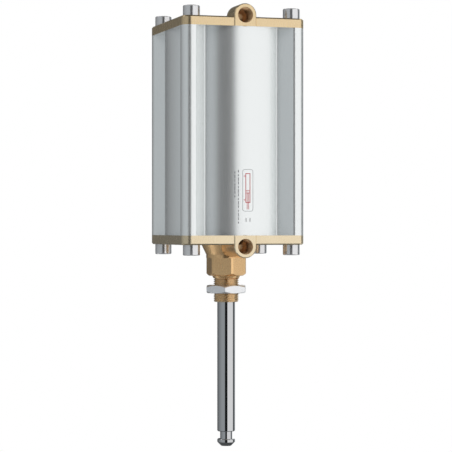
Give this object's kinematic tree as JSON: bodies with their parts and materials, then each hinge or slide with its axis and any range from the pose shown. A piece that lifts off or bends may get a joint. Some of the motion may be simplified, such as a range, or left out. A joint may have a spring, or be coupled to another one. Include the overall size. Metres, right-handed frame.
{
  "type": "pneumatic cylinder",
  "caption": "Double-acting pneumatic cylinder: aluminium barrel with corner posts between brass covers, a threaded neck with lock nut, and a chromed rod with a grooved end.",
  "frame": {"origin": "on the cylinder's axis, at the shoulder under the neck's hexagon, where the cylinder seats on its mounting plate", "axes": "+Z along the axis from the neck to the rear cover, the rod points to -Z, the port lugs face -Y, +X to the right seen from the port side"},
  "size_m": [0.0974, 0.0983, 0.3411],
  "materials": {
    "anodised_barrel": "clear satin anodised extrusion",
    "cover_brass": "machined brass, lightly tarnished",
    "screw_steel": "bright plated steel",
    "zinc_nut": "zinc-plated steel",
    "rod_chrome": "ground and hard-chromed",
    "bush_bronze": "sintered bronze",
    "inner_steel": "plain steel",
    "piston_aluminium": "turned aluminium",
    "seal_rubber": "moulded nitrile rubber",
    "bumper_rubber": "moulded polyurethane",
    "guide_plastic": "moulded acetal"
  },
  "bodies": {
    "cylinder": {"barrel": "anodised_barrel", "rear_cover": "cover_brass", "front_cover": "cover_brass", "rear_cover_screws": "screw_steel", "front_cover_screws": "screw_steel", "rear_cover_seal": "seal_rubber", "front_cover_seal": "seal_rubber", "rear_bumper": "bumper_rubber", "front_bumper": "bumper_rubber", "rod_bush": "bush_bronze", "rod_wiper": "seal_rubber", "rod_seal": "seal_rubber", "seal_washer": "inner_steel", "seal_circlip": "inner_steel"},
    "packing": {"front_piston_seal": "seal_rubber", "rear_piston_seal": "seal_rubber", "piston_guide_ring": "guide_plastic"},
    "rod": {"piston_rod": "rod_chrome", "front_piston_half": "piston_aluminium", "rear_piston_half": "piston_aluminium", "rod_o_ring": "seal_rubber", "piston_washer": "inner_steel", "piston_nut": "inner_steel"},
    "lock_nut": {"lock_nut": "zinc_nut"}
  },
  "joints": [
    {"name": "rod_slide", "type": "slide", "parent": "cylinder", "child": "packing", "axis": [0, 0, 1], "range_m": [0, 0.1]},
    {"name": "rod_turn", "type": "hinge", "parent": "packing", "child": "rod", "pos_m": [0, 0, 0], "axis": [0, 0, 1], "continuous": true},
    {"name": "lock_nut_turn", "type": "hinge", "parent": "cylinder", "child": "lock_nut", "pos_m": [0, 0, -0.0105], "axis": [0, 0, 1], "continuous": true}
  ]
}
